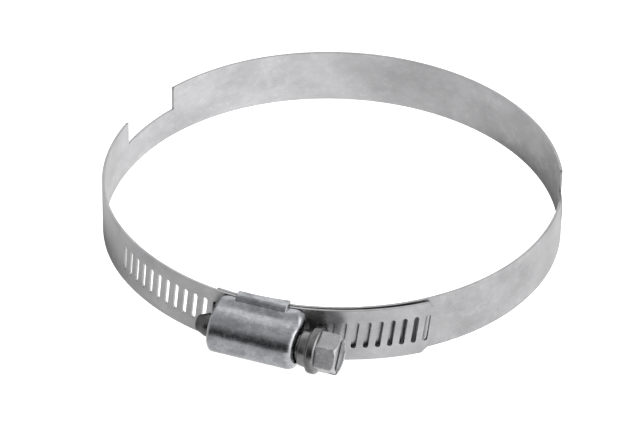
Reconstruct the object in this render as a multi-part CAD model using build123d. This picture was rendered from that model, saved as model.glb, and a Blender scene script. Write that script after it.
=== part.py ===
from build123d import *
from math import atan2, cos, degrees, hypot, pi, radians, sin, sqrt, tan
import os

# Worm-drive pipe clamp, in millimetres.
# Origin: centre of the ring, half way up the band. +Z is the ring's axis, the screw lies on
# the -Y side with its axis along X and its head towards +X.
# Angles are in degrees from the -Y direction, positive towards +X.

# --- Band -------------------------------------------------------------------
BAND_WIDTH = 12.7
BAND_THICKNESS = 0.6
SEAT_RADIUS = 50.0
LAYER_GAP = 0.06

# --- Slotted stretch: one arc about its own centre, so that it slides along itself -----------
TOUCH_ANGLE = -14.0
CENTRE_OFFSET = 2.0
SLOTTED_START = -42.6
SLOTTED_END = 41.6
FIRST_SLOT = -40.2
SLOT_COUNT = 30
SLOT_PITCH = 2.57
SLOT_WIDTH = 1.1
SLOT_LENGTH = 6.6
SLOT_SLANT = 6.5
TAIL_CHAMFER = 1.4

# --- Captive end and plain stretch ------------------------------------------
CAPTIVE_START = -10.3
CAPTIVE_END = 22.0
TONGUE_CHAMFER = 1.2
WAIST_HALF_WIDTH = 4.2
BEND_START = 257.9
LINK_COUNT = 8
LINK_GAP = 0.16
OPEN_PIVOT = 4
OPEN_PIVOT_GAP = 0.24
RIGHT_NOTCH_MIDDLE = 106.25
RIGHT_NOTCH_SPAN = 13.5
LEFT_NOTCH_MIDDLE = 257.9
LEFT_NOTCH_SPAN = 20.35
NOTCH_FLOOR = 0.5

# --- Housing ----------------------------------------------------------------
HOUSING_LEFT = -6.8
HOUSING_RIGHT = 12.3
SCREW_Y = -54.6
DOME_RADIUS = 5.3
DOME_WALL = 0.9
END_WALL = 1.0
END_ROUND = 0.55
HOUSING_ZONE = 30.0
FLARE_START = 0.6
FLARE_MIDDLE = 1.7
FLARE_HALF_WIDTH = 5.55
FLARE_END = 2.4
FLARE_REACH = 6.0
SKIRT_HALF_WIDTH = 6.35
STRAP_LEFT = -3.0
STRAP_RIGHT = 8.4
STRAP_WALL = 0.85
STRAP_ROUND = 0.4
STRAP_DEPTH = 4.0
LIP_HALF_GAP = 4.3
BAND_CLEARANCE = 0.1

# --- Worm screw -------------------------------------------------------------
THREAD_PITCH = SLOT_PITCH
THREAD_DEPTH_IN_BAND = 0.5
THREAD_CREST = 0.5
THREAD_FLANK = 15.0
CORE_RADIUS = 2.75
THREAD_ROOT_OVERLAP = 0.15
THREAD_LEFT = -4.9
THREAD_RIGHT = 10.4
JOURNAL_RADIUS = 2.6
NECK_RADIUS = 3.0
RUNNING_CLEARANCE = 0.05
TIP_RADIUS = 1.9
TIP_ROUND = 0.6
TIP_END = -10.7
TIP_SHOULDER = -8.3
COLLAR_LEFT = 13.0
COLLAR_RADIUS = 4.2
FLANGE_LEFT = 15.1
FLANGE_RIGHT = 17.2
FLANGE_RADIUS = 5.1
FLANGE_ROUND = 0.45
COLLAR_TAPER = 0.35
HEX_END = 21.5
HEX_ACROSS_FLATS = 7.94
HEX_VERTEX_ANGLE = 47.0
DRIVER_SLOT_ANGLE = 126.0
DRIVER_SLOT_WIDTH = 1.4
DRIVER_SLOT_DEPTH = 1.6
HEX_FACE_RADIUS = 3.9
HEX_CHAMFER_LENGTH = 0.75
HEX_DISH_RADIUS = 3.4
HEX_DISH_DEPTH = 0.4

# --- Worked out from the above ----------------------------------------------
SLOTTED_CENTRE = (
    -CENTRE_OFFSET * sin(radians(TOUCH_ANGLE)),
    CENTRE_OFFSET * cos(radians(TOUCH_ANGLE)),
)
SLOTTED_INNER = SEAT_RADIUS + BAND_THICKNESS + LAYER_GAP + CENTRE_OFFSET
SLOTTED_MIDDLE = SLOTTED_INNER + BAND_THICKNESS / 2
SLOTTED_OUTER = SLOTTED_INNER + BAND_THICKNESS
SLOT_STEP = degrees(SLOT_PITCH / SLOTTED_MIDDLE)
PLAIN_MIDDLE = SEAT_RADIUS + BAND_THICKNESS / 2
HALF_WIDTH = BAND_WIDTH / 2
BAND_FACE_Y = SLOTTED_CENTRE[1] - SLOTTED_OUTER
THREAD_RADIUS = BAND_FACE_Y + THREAD_DEPTH_IN_BAND - SCREW_Y
FULL_TURN = 360.0


def polar(radius, angle, centre=(0.0, 0.0)):
    """Point at a radius and angle about a centre, on the plane Z = 0."""
    turn = radians(angle)
    return (centre[0] + radius * sin(turn), centre[1] - radius * cos(turn))


def constant(radius):
    """Radius that is the same at every angle."""
    return lambda angle: radius


def bent_edge(start, end, radius_at, centre):
    """Edge about a centre, as two arcs that follow a radius that may change with the angle."""
    angles = [start + (end - start) * part / 4 for part in range(5)]
    points = [polar(radius_at(angle), angle, centre) for angle in angles]
    return [ThreePointArc(*points[:3]), ThreePointArc(*points[2:])]


def curved_plate(start, end, inner_at, outer_at, low, high, centre=(0.0, 0.0)):
    """Plate bent about the Z axis, between two angles, two radii and two heights."""
    outer = bent_edge(start, end, outer_at, centre)
    inner = bent_edge(end, start, inner_at, centre)
    sides = [Line(outer[1] @ 1, inner[0] @ 0), Line(inner[1] @ 1, outer[0] @ 0)]
    face = make_face(outer + inner + sides)
    return Pos(0, 0, low) * extrude(face, amount=high - low, dir=(0, 0, 1))


def tangent_plane(radius, angle, centre=(0.0, 0.0)):
    """Plane on the band's surface: local x runs along the band, local y is +Z."""
    turn = radians(angle)
    point = polar(radius, angle, centre)
    return Plane(
        origin=(point[0], point[1], 0),
        x_dir=(cos(turn), sin(turn), 0),
        z_dir=(sin(turn), -cos(turn), 0),
    )


def slotted_end():
    """Radius, angle and radial slope of the slotted stretch's plain end about the ring."""
    point = polar(SLOTTED_MIDDLE, SLOTTED_START, SLOTTED_CENTRE)
    radius = hypot(*point)
    angle = degrees(atan2(point[0], -point[1])) + FULL_TURN
    slope = CENTRE_OFFSET * sin(radians(angle - FULL_TURN - TOUCH_ANGLE))
    return radius, angle, slope


def plain_radius(angle):
    """Mid-thickness radius of the plain band, which eases out to meet the slotted stretch."""
    if angle <= BEND_START:
        return PLAIN_MIDDLE
    end_radius, end_angle, end_slope = slotted_end()
    span = end_angle - BEND_START
    part = (angle - BEND_START) / span
    rise = (3 * part**2 - 2 * part**3) * (end_radius - PLAIN_MIDDLE)
    lean = (part**3 - part**2) * radians(span) * end_slope
    return PLAIN_MIDDLE + rise + lean


def link_bounds():
    """Angles of the hinges along the plain band, from the captive end to the slotted end."""
    step = (slotted_end()[1] - CAPTIVE_END) / LINK_COUNT
    return [CAPTIVE_END + step * index for index in range(LINK_COUNT + 1)]


def notch(middle, span):
    """Cutter for a rectangular notch in the band's upper edge."""
    reach = 4.0
    return curved_plate(
        middle - span / 2,
        middle + span / 2,
        constant(SEAT_RADIUS - reach),
        constant(SEAT_RADIUS + reach),
        NOTCH_FLOOR,
        BAND_WIDTH,
    )


def corner_cutter(length, chamfer, lean):
    """Flat outline that trims a band end to a slanted edge with chamfered corners."""
    slant = (sin(radians(lean)), cos(radians(lean)))
    foot = (-HALF_WIDTH * slant[0] / slant[1], -HALF_WIDTH)
    head = (-foot[0], HALF_WIDTH)
    margin = 1.0
    points = [
        (foot[0] - chamfer, -HALF_WIDTH - margin),
        (foot[0] - chamfer, -HALF_WIDTH),
        (foot[0] + chamfer * slant[0], foot[1] + chamfer * slant[1]),
        (head[0] - chamfer * slant[0], head[1] - chamfer * slant[1]),
        (head[0] - chamfer, HALF_WIDTH),
        (head[0] - chamfer, HALF_WIDTH + margin),
        (length, HALF_WIDTH + margin),
        (length, -HALF_WIDTH - margin),
    ]
    return make_face(Polyline(*points, close=True))


def band_slotted():
    """Slotted stretch of the band, from the left of the housing to the free tail."""
    overrun = 3.0
    arc = curved_plate(
        SLOTTED_START + degrees(LINK_GAP / 2 / SLOTTED_MIDDLE),
        SLOTTED_END + overrun,
        constant(SLOTTED_INNER),
        constant(SLOTTED_OUTER),
        -HALF_WIDTH,
        HALF_WIDTH,
        SLOTTED_CENTRE,
    )
    cutters = []
    for index in range(SLOT_COUNT):
        plane = tangent_plane(SLOTTED_MIDDLE, FIRST_SLOT + SLOT_STEP * index, SLOTTED_CENTRE)
        outline = SlotOverall(SLOT_LENGTH, SLOT_WIDTH, rotation=90 - SLOT_SLANT)
        cutters.append(extrude(plane * outline, amount=BAND_THICKNESS, both=True))
    tail_plane = tangent_plane(SLOTTED_MIDDLE, SLOTTED_END, SLOTTED_CENTRE)
    tail = corner_cutter(2 * overrun, TAIL_CHAMFER, SLOT_SLANT)
    cutters.append(extrude(tail_plane * tail, amount=2 * BAND_THICKNESS, both=True))
    return arc - cutters


def band_captive_end():
    """Captive end of the band: the tongue, a waist held by the housing's lips, and the
    stretch that the free tail slides over."""
    gap = degrees(LINK_GAP / 2 / PLAIN_MIDDLE)
    strip = curved_plate(
        CAPTIVE_START,
        CAPTIVE_END - gap,
        constant(SEAT_RADIUS),
        constant(SEAT_RADIUS + BAND_THICKNESS),
        -HALF_WIDTH,
        HALF_WIDTH,
    )
    tongue_plane = tangent_plane(PLAIN_MIDDLE, CAPTIVE_START)
    tongue = Rot(0, 0, 180) * corner_cutter(2 * TONGUE_CHAMFER, TONGUE_CHAMFER, 0.0)
    strip -= extrude(tongue_plane * tongue, amount=2 * BAND_THICKNESS, both=True)
    waist_middle = (STRAP_LEFT + STRAP_RIGHT) / 2
    waist_length = STRAP_RIGHT - STRAP_LEFT + 2 * BAND_CLEARANCE
    for side in (1, -1):
        height = side * (WAIST_HALF_WIDTH + BAND_WIDTH / 2)
        cutter = Box(waist_length, STRAP_DEPTH, BAND_WIDTH)
        strip -= Pos(waist_middle, -SEAT_RADIUS, height) * cutter
    return strip


def band_link(index, bounds):
    """One link of the plain band, with any notch that lies in it."""
    gaps = [OPEN_PIVOT_GAP if end == OPEN_PIVOT else LINK_GAP for end in (index, index + 1)]
    half_gaps = [degrees(gap / 2 / PLAIN_MIDDLE) for gap in gaps]
    link = curved_plate(
        bounds[index] + half_gaps[0],
        bounds[index + 1] - half_gaps[1],
        lambda angle: plain_radius(angle) - BAND_THICKNESS / 2,
        lambda angle: plain_radius(angle) + BAND_THICKNESS / 2,
        -HALF_WIDTH,
        HALF_WIDTH,
    )
    for middle, span in ((RIGHT_NOTCH_MIDDLE, RIGHT_NOTCH_SPAN), (LEFT_NOTCH_MIDDLE, LEFT_NOTCH_SPAN)):
        if bounds[index] < middle < bounds[index + 1]:
            link -= notch(middle, span)
    return link


def across_screw(outline, left, right):
    """Outline in the plane across the screw, extruded between two X positions."""
    return extrude(Plane.YZ.offset(left) * outline, amount=right - left)


def arch_outline(radius, reach):
    """Round top over the screw with straight sides down towards the band."""
    sides = Pos(SCREW_Y + reach / 2, 0) * Rectangle(reach, 2 * radius)
    return Pos(SCREW_Y, 0) * Circle(radius) + sides


def skirt_outline(reach):
    """The two skirts that flare from the dome to the band's edges."""
    upper = [(FLARE_START, DOME_RADIUS), (FLARE_MIDDLE, FLARE_HALF_WIDTH), (FLARE_END, SKIRT_HALF_WIDTH)]
    upper = [(SCREW_Y + drop, height) for drop, height in upper] + [(SCREW_Y + reach, SKIRT_HALF_WIDTH)]
    lower = [(y, -height) for y, height in reversed(upper)]
    return make_face(Polyline(*upper, *lower, close=True))


def is_end_edge(edge):
    """True for an outer edge of the housing's left or right end face."""
    centre = edge.center()
    at_end = min(abs(centre.X - HOUSING_LEFT), abs(centre.X - HOUSING_RIGHT)) < 0.01
    return at_end and centre.Y < SCREW_Y + FLARE_START


def sliding_path(margin):
    """Space that the slotted stretch sweeps through the housing, with a margin all round."""
    return curved_plate(
        -HOUSING_ZONE,
        HOUSING_ZONE,
        constant(SLOTTED_INNER - margin),
        constant(SLOTTED_OUTER + margin),
        -HALF_WIDTH - BAND_CLEARANCE,
        HALF_WIDTH + BAND_CLEARANCE,
        SLOTTED_CENTRE,
    )


def straps():
    """Both straps: side walls past the band's edges, and lips flush with the captive end."""
    edge = HALF_WIDTH + BAND_CLEARANCE + STRAP_WALL
    block = Pos((STRAP_LEFT + STRAP_RIGHT) / 2, SCREW_Y + FLARE_END + STRAP_DEPTH / 2, 0) * Box(
        STRAP_RIGHT - STRAP_LEFT, STRAP_DEPTH, 2 * edge
    )
    block = fillet(block.edges().filter_by(Axis.X), STRAP_ROUND)
    block -= Cylinder(SEAT_RADIUS, 4 * edge)
    inside = Pos((STRAP_LEFT + STRAP_RIGHT) / 2, SCREW_Y, 0)
    return block - inside * Box(BAND_WIDTH, 4 * STRAP_DEPTH, 2 * LIP_HALF_GAP)


def housing():
    """Stamped housing: dome over the screw, skirts on the band, and the straps that wrap
    round both edges of the band and end in lips beside the captive end's waist."""
    shell = across_screw(arch_outline(DOME_RADIUS, FLARE_REACH), HOUSING_LEFT, HOUSING_RIGHT)
    shell = fillet([edge for edge in shell.edges() if is_end_edge(edge)], END_ROUND)
    shell += across_screw(skirt_outline(FLARE_REACH), HOUSING_LEFT, HOUSING_RIGHT)
    shell -= Pos(*SLOTTED_CENTRE, 0) * Cylinder(SLOTTED_OUTER + BAND_CLEARANCE, 2 * BAND_WIDTH)
    shell += straps()
    shell -= sliding_path(LAYER_GAP)
    shell -= across_screw(
        arch_outline(DOME_RADIUS - DOME_WALL, FLARE_REACH), HOUSING_LEFT + END_WALL, HOUSING_RIGHT - END_WALL
    )
    left_hole = arch_outline(JOURNAL_RADIUS + RUNNING_CLEARANCE, FLARE_REACH)
    right_hole = arch_outline(NECK_RADIUS + RUNNING_CLEARANCE, FLARE_REACH)
    shell -= across_screw(left_hole, HOUSING_LEFT, HOUSING_LEFT + END_WALL)
    shell -= across_screw(right_hole, HOUSING_RIGHT - END_WALL, HOUSING_RIGHT)
    return shell


def turned_profile():
    """Half outline of the screw as a turned shape, as X position and radius."""
    return [
        (TIP_END, 0.0),
        (TIP_END, TIP_RADIUS - TIP_ROUND),
        (TIP_END + TIP_ROUND, TIP_RADIUS),
        (TIP_SHOULDER, JOURNAL_RADIUS),
        (HOUSING_LEFT + END_WALL + RUNNING_CLEARANCE, JOURNAL_RADIUS),
        (HOUSING_LEFT + END_WALL + RUNNING_CLEARANCE, CORE_RADIUS),
        (HOUSING_RIGHT - END_WALL - RUNNING_CLEARANCE, CORE_RADIUS),
        (HOUSING_RIGHT - END_WALL - RUNNING_CLEARANCE, NECK_RADIUS),
        (COLLAR_LEFT, NECK_RADIUS),
        (COLLAR_LEFT, COLLAR_RADIUS - COLLAR_TAPER),
        (FLANGE_LEFT, COLLAR_RADIUS),
        (FLANGE_LEFT + FLANGE_ROUND, FLANGE_RADIUS),
        (FLANGE_RIGHT - FLANGE_ROUND, FLANGE_RADIUS),
        (FLANGE_RIGHT, FLANGE_RADIUS - FLANGE_ROUND),
        (FLANGE_RIGHT, 0.0),
    ]


def turned(points):
    """Solid turned about the screw's axis from X positions and radii."""
    outline = make_face(Polyline(*[(x, SCREW_Y + radius) for x, radius in points], close=True))
    return revolve(outline, axis=Axis((0, SCREW_Y, 0), (1, 0, 0)))


def screw_thread():
    """Worm thread, in phase with the slot that is nearest the middle of the worm."""
    nearest = round(-FIRST_SLOT / SLOT_STEP)
    mesh_x = SLOTTED_CENTRE[0] + SLOTTED_MIDDLE * sin(radians(FIRST_SLOT + SLOT_STEP * nearest))
    phase = 2 * pi * (THREAD_LEFT - mesh_x) / THREAD_PITCH
    start = Plane(
        origin=(THREAD_LEFT, SCREW_Y, 0), x_dir=(0, cos(phase), sin(phase)), z_dir=(1, 0, 0)
    )
    root = CORE_RADIUS - THREAD_ROOT_OVERLAP
    half_crest = THREAD_CREST / 2
    half_root = half_crest + (THREAD_RADIUS - root) * tan(radians(THREAD_FLANK))
    profile = make_face(
        Polyline(
            (root, -half_root), (THREAD_RADIUS, -half_crest), (THREAD_RADIUS, half_crest),
            (root, half_root), close=True,
        )
    )
    path = Helix(THREAD_PITCH, THREAD_RIGHT - THREAD_LEFT, CORE_RADIUS)
    return start * sweep(Plane.XZ * profile, path=path, is_frenet=True)


def hex_head():
    """Hexagon with a chamfered, dished end and a driver slot."""
    corner_radius = HEX_ACROSS_FLATS / sqrt(3)
    vertex = Rot(0, 0, 180 - HEX_VERTEX_ANGLE)
    hexagon = Pos(SCREW_Y, 0) * vertex * RegularPolygon(corner_radius, 6)
    head = across_screw(hexagon, FLANGE_RIGHT - FLANGE_ROUND, HEX_END)
    envelope = [
        (FLANGE_RIGHT - FLANGE_ROUND, 0.0),
        (FLANGE_RIGHT - FLANGE_ROUND, FLANGE_RADIUS),
        (HEX_END - HEX_CHAMFER_LENGTH, FLANGE_RADIUS - FLANGE_ROUND),
        (HEX_END, HEX_FACE_RADIUS),
        (HEX_END, 0.0),
    ]
    head &= turned(envelope)
    dish = across_screw(Pos(SCREW_Y, 0) * Circle(HEX_DISH_RADIUS), HEX_END - HEX_DISH_DEPTH, HEX_END)
    slot = Pos(SCREW_Y, 0) * Rot(0, 0, 180 - DRIVER_SLOT_ANGLE) * Rectangle(BAND_WIDTH, DRIVER_SLOT_WIDTH)
    return head - dish - across_screw(slot, HEX_END - DRIVER_SLOT_DEPTH, HEX_END)


def worm_screw():
    """Worm screw in one piece: tip, journal, thread, neck, collar, flange and head."""
    return turned(turned_profile()) + screw_thread() + hex_head()


def main():
    os.makedirs("parts", exist_ok=True)
    bounds = link_bounds()
    nodes = {
        "housing": housing(),
        "worm_screw": worm_screw(),
        "band_slotted": band_slotted(),
        "band_captive_end": band_captive_end(),
    }
    for index in range(LINK_COUNT):
        nodes[f"band_link_{index + 1:02d}"] = band_link(index, bounds)
    for name, solid in nodes.items():
        export_step(solid, f"parts/{name}.step")


main()
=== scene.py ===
import math

import bmesh
import bpy
from mathutils import Matrix, Vector


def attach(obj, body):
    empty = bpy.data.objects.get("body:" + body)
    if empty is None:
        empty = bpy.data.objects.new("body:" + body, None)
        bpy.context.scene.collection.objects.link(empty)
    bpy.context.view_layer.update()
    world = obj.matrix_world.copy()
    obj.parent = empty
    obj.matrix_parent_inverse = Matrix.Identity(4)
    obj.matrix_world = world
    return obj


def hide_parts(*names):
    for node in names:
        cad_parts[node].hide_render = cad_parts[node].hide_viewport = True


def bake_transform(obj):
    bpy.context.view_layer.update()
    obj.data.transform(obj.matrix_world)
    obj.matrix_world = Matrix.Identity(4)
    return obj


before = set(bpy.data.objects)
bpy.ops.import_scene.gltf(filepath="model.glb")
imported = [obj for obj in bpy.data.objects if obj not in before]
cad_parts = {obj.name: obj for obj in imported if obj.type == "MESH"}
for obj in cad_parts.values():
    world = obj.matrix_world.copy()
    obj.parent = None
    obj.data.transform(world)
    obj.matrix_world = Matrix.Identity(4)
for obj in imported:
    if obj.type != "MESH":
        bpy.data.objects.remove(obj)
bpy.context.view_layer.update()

# Visual model of the worm-drive clamp: band, housing and screw round the CAD frame.
# Lengths are in millimetres in the functions below, and meshes are made in metres.
# Band angles are in degrees from -Y, positive towards +X, as in the CAD part.
MM = 0.001

# --- Band -------------------------------------------------------------------
WIDTH = 12.7
THICK = 0.6
HALF = WIDTH / 2
PLAIN_MIDDLE = 50.3
TOUCH_ANGLE = -14.0
CENTRE_OFFSET = 2.0
SLOTTED_CENTRE = (
    -CENTRE_OFFSET * math.sin(math.radians(TOUCH_ANGLE)),
    CENTRE_OFFSET * math.cos(math.radians(TOUCH_ANGLE)),
)
SLOTTED_MIDDLE = 52.96
SLOTTED_START = -42.6
SLOTTED_END = 41.6
FIRST_SLOT = -40.2
SLOT_COUNT = 30
SLOT_PITCH = 2.57
SLOT_STEP = math.degrees(SLOT_PITCH / SLOTTED_MIDDLE)
SLOT_WIDTH = 1.1
SLOT_LENGTH = 6.6
SLANT = math.radians(6.5)
TAIL_CHAMFER = 1.4
CAPTIVE_START = -10.3
CAPTIVE_END = 22.0
TONGUE_CHAMFER = 1.2
WAIST_HALF = 4.2
WAIST = (-3.1, 8.5)
BEND_START = 257.9
NOTCH_FLOOR = 0.5
NOTCHES = ((99.5, 113.0), (247.725, 268.075))
LINKS = 8
OPEN_PIVOT = 4
# Degrees that the first bend reaches back from its hinge, where the captive piece ends.
FIRST_REACH = 9.0
EDGE_ROUND = 0.07
HOLE_ROUND = 0.05
# The plain mesh's lines: their heights, and the step between the columns in degrees.
ROWS = (-HALF, -4.96, -3.7, -2.45, -1.2, 0.5, 1.6, 2.7, 3.8, 4.96, HALF)
COLUMN_STEP = 0.9
# Material index that marks a piece's cut ends while its normals are made.
SEAM = 1

# --- Housing and screw ------------------------------------------------------
SCREW_Y = -54.6
HOUSING = (-6.8, 12.3)
DOME = 5.3
STRAP = (-3.0, 8.4)

# --- Band's UV map, and painted light and shade on its sides ----------------
INNER_SIDE_UV = 40.0
# Painted shade on the band's outer side and painted light on its inner side, as tones.
OUTER_PAINTED_SHADE, INNER_PAINTED_LIGHT = 0.75, 0.93


# --- Shapes of the band -----------------------------------------------------
def polar(radius, angle, centre=(0.0, 0.0)):
    """X and Y at a radius and a band angle."""
    turn = math.radians(angle)
    return (centre[0] + radius * math.sin(turn), centre[1] - radius * math.cos(turn))


def slotted_end():
    """Radius, ring angle and slope of the slotted stretch's start, seen from the ring's centre."""
    point = polar(SLOTTED_MIDDLE, SLOTTED_START, SLOTTED_CENTRE)
    radius = math.hypot(*point)
    angle = math.degrees(math.atan2(point[0], -point[1])) + 360
    slope = CENTRE_OFFSET * math.sin(math.radians(angle - 360 - TOUCH_ANGLE))
    return radius, angle, slope


END_RADIUS, END_ANGLE, END_SLOPE = slotted_end()
LINK_SPAN = (END_ANGLE - CAPTIVE_END) / LINKS
HINGES = [CAPTIVE_END + LINK_SPAN * index for index in range(LINKS + 1)]
LOWEST_ANGLE = -25.0


def plain_radius(angle):
    """Middle radius of the plain stretch: round, then easing out to the slotted stretch's start."""
    if angle <= BEND_START:
        return PLAIN_MIDDLE
    span = END_ANGLE - BEND_START
    part = (angle - BEND_START) / span
    rise = (3 * part**2 - 2 * part**3) * (END_RADIUS - PLAIN_MIDDLE)
    return PLAIN_MIDDLE + rise + (part**3 - part**2) * math.radians(span) * END_SLOPE


def band_angle(point):
    """Ring angle of a point, from just before the captive end and once round."""
    angle = math.degrees(math.atan2(point[0], -point[1]))
    return angle + 360 if angle < LOWEST_ANGLE else angle


class Plain:
    """The plain stretch: s is the ring angle times the middle radius."""

    scale = math.radians(1) * PLAIN_MIDDLE

    @staticmethod
    def place(s, z, height):
        angle = s / Plain.scale
        x, y = polar(plain_radius(angle) + height, angle)
        return Vector((x, y, z)) * MM

    @staticmethod
    def read(co):
        """s, z, height and outward direction at a point of the mesh."""
        x, y = co.x / MM, co.y / MM
        angle = band_angle((x, y))
        height = math.hypot(x, y) - plain_radius(angle)
        slope = (plain_radius(angle + 0.1) - plain_radius(angle - 0.1)) / math.radians(0.2)
        turn = math.radians(angle) - math.atan2(slope, plain_radius(angle))
        return angle * Plain.scale, co.z / MM, height, Vector((math.sin(turn), -math.cos(turn), 0))


class Slotted:
    """The slotted stretch: s is the angle about its own centre times its middle radius."""

    scale = math.radians(1) * SLOTTED_MIDDLE

    @staticmethod
    def place(s, z, height):
        x, y = polar(SLOTTED_MIDDLE + height, s / Slotted.scale, SLOTTED_CENTRE)
        return Vector((x, y, z)) * MM

    @staticmethod
    def read(co):
        x, y = co.x / MM - SLOTTED_CENTRE[0], co.y / MM - SLOTTED_CENTRE[1]
        turn = math.atan2(x, -y)
        height = math.hypot(x, y) - SLOTTED_MIDDLE
        return turn * SLOTTED_MIDDLE, co.z / MM, height, Vector((math.sin(turn), -math.cos(turn), 0))


class Flat:
    """A flat mesh in s and z that shares its points, so that neighbouring cells join."""

    def __init__(self):
        self.points, self.faces, self.index, self.cap, self.hole = [], [], {}, set(), set()

    def point(self, s, z, cap=False, hole=False):
        key = (round(s, 4), round(z, 4))
        if key not in self.index:
            self.index[key] = len(self.points)
            self.points.append((s, z))
        number = self.index[key]
        if cap:
            self.cap.add(number)
        if hole:
            self.hole.add(number)
        return number

    def face(self, *corners):
        kept = [c for n, c in enumerate(corners) if c != corners[n - 1]]
        if len(kept) > 2:
            self.faces.append(kept)

    def grid(self, lines):
        """Quads between neighbouring lines of points, each line a list of point numbers upwards."""
        for left, right in zip(lines, lines[1:]):
            for low in range(len(left) - 1):
                self.face(left[low], right[low], right[low + 1], left[low + 1])


def steps(start, end, size):
    """Even steps from start to end, none longer than size."""
    count = max(1, math.ceil(abs(end - start) / size))
    return [start + (end - start) * n / count for n in range(count + 1)]


def round_edges(bm, groups):
    """Rounds edges, given as (pairs of points, size) groups. The mesh is in millimetres meanwhile,
    because the bevel takes the long edges of so small a mesh in metres for flat ones."""
    bmesh.ops.scale(bm, vec=(1 / MM, 1 / MM, 1 / MM), verts=bm.verts)
    for pairs, size in groups:
        edges = [bm.edges.get(pair) for pair in pairs]
        if edges:
            bmesh.ops.bevel(
                bm, geom=edges, offset=size, offset_type="OFFSET", segments=2, profile=0.5,
                affect="EDGES", clamp_overlap=True,
            )
    bmesh.ops.scale(bm, vec=(MM, MM, MM), verts=bm.verts)


def plate(name, flat, path):
    """Closed plate, bent along path, from a flat mesh. Its long edges and holes are rounded."""
    bm = bmesh.new()
    outer = [bm.verts.new(path.place(s, z, THICK / 2)) for s, z in flat.points]
    inner = [bm.verts.new(path.place(s, z, -THICK / 2)) for s, z in flat.points]
    sides = {}
    for face in flat.faces:
        bm.faces.new([outer[n] for n in face])
        bm.faces.new([inner[n] for n in reversed(face)])
        for a, b in zip(face, face[1:] + face[:1]):
            if (b, a) in sides:
                del sides[(b, a)]
            else:
                sides[(a, b)] = True
    edges, holes = [], []
    for a, b in sides:
        side = bm.faces.new([outer[a], inner[a], inner[b], outer[b]])
        if a in flat.cap and b in flat.cap:
            side.material_index = SEAM
            continue
        chosen = holes if a in flat.hole and b in flat.hole else edges
        chosen.append((outer[a], outer[b]))
        chosen.append((inner[a], inner[b]))
    round_edges(bm, ((edges, EDGE_ROUND), (holes, HOLE_ROUND)))
    bmesh.ops.dissolve_degenerate(bm, dist=1e-8, edges=bm.edges)
    bmesh.ops.recalc_face_normals(bm, faces=bm.faces)
    return band_object(name, bm, path)


def band_object(name, bm, path):
    """Band mesh as an object, with the bend's own normals and a lengthwise UV map in millimetres."""
    layer = bm.loops.layers.uv.new("Lengthwise")
    face_tolerance, inner_limit = 0.002, -0.2
    normals = []
    bm.normal_update()
    for vert in bm.verts:
        _, _, height, out = path.read(vert.co)
        if abs(abs(height) - THICK / 2) < face_tolerance:
            normals.append(out if height > 0 else -out)
        else:
            total = Vector((0, 0, 0))
            for face in vert.link_faces:
                if face.material_index != SEAM:
                    total += face.normal * face.calc_area()
            normals.append(total.normalized() if total.length else vert.normal.copy())
    for face in bm.faces:
        face.smooth = True
        face.material_index = 0
        middle = sum((loop.vert.co for loop in face.loops), Vector()) / len(face.loops)
        lift = 0.0 if path.read(middle)[2] > inner_limit else INNER_SIDE_UV
        for loop in face.loops:
            s, z, _, _ = path.read(loop.vert.co)
            loop[layer].uv = (s, z + lift)
    mesh = bpy.data.meshes.new(name)
    bm.to_mesh(mesh)
    bm.free()
    mesh.normals_split_custom_set_from_vertices(normals)
    return add(name, mesh)


def add(name, data):
    made = bpy.data.objects.new(name, data)
    bpy.context.scene.collection.objects.link(made)
    return made


def plain_flat(start, end):
    """Flat mesh of a plain stretch between two ring angles, with the notches that lie in it."""
    flat = Flat()
    stops = sorted([start, end] + [a for notch in NOTCHES for a in notch if start < a < end])
    columns = []
    for low, high in zip(stops, stops[1:]):
        columns += steps(low, high, COLUMN_STEP)[:-1]
    columns.append(end)

    def notched(angle):
        return any(low < angle < high for low, high in NOTCHES)

    for left, right in zip(columns, columns[1:]):
        top = NOTCH_FLOOR if notched((left + right) / 2) else HALF
        rows = [z for z in ROWS if z <= top + 1e-6]
        lines = []
        for angle in (left, right):
            cut_end = angle in (start, end)
            lines.append([flat.point(angle * Plain.scale, z, cut_end) for z in rows])
        flat.grid(lines)
    return flat


def captive_flat(end):
    """Flat mesh of the captive end: chamfered tongue, waist, then full width."""
    flat = Flat()
    scale = Plain.scale
    waist = [math.degrees(math.asin(x / PLAIN_MIDDLE)) for x in WAIST]
    tongue = CAPTIVE_START + TONGUE_CHAMFER / scale
    rows = [-HALF, -HALF + TONGUE_CHAMFER, -WAIST_HALF, -2.45, -1.2, 0.5, 1.6, 2.7, WAIST_HALF,
            HALF - TONGUE_CHAMFER, HALF]
    columns = [CAPTIVE_START] + steps(tongue, waist[0], COLUMN_STEP)[:-1]
    columns += steps(waist[0], waist[1], COLUMN_STEP)[:-1] + steps(waist[1], end, COLUMN_STEP)
    for left, right in zip(columns, columns[1:]):
        inside = waist[0] < (left + right) / 2 < waist[1]
        kept = [z for z in rows if not inside or abs(z) <= WAIST_HALF + 1e-6]
        lines = []
        for angle in (left, right):
            line = []
            for z in kept:
                s = angle * scale
                if angle == CAPTIVE_START and abs(z) > HALF - TONGUE_CHAMFER + 1e-6:
                    s += TONGUE_CHAMFER
                line.append(flat.point(s, z, angle == end))
            lines.append(line)
        flat.grid(lines)
    return flat


def tail_limit(z):
    """Where the tail ends at a height: a slanted edge with chamfered corners."""
    edge = SLOTTED_END * Slotted.scale + z * math.tan(SLANT)
    if abs(z) <= TAIL_CORNER:
        return edge
    part = (abs(z) - TAIL_CORNER) / (HALF - TAIL_CORNER)
    return edge - part * TAIL_CHAMFER


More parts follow.
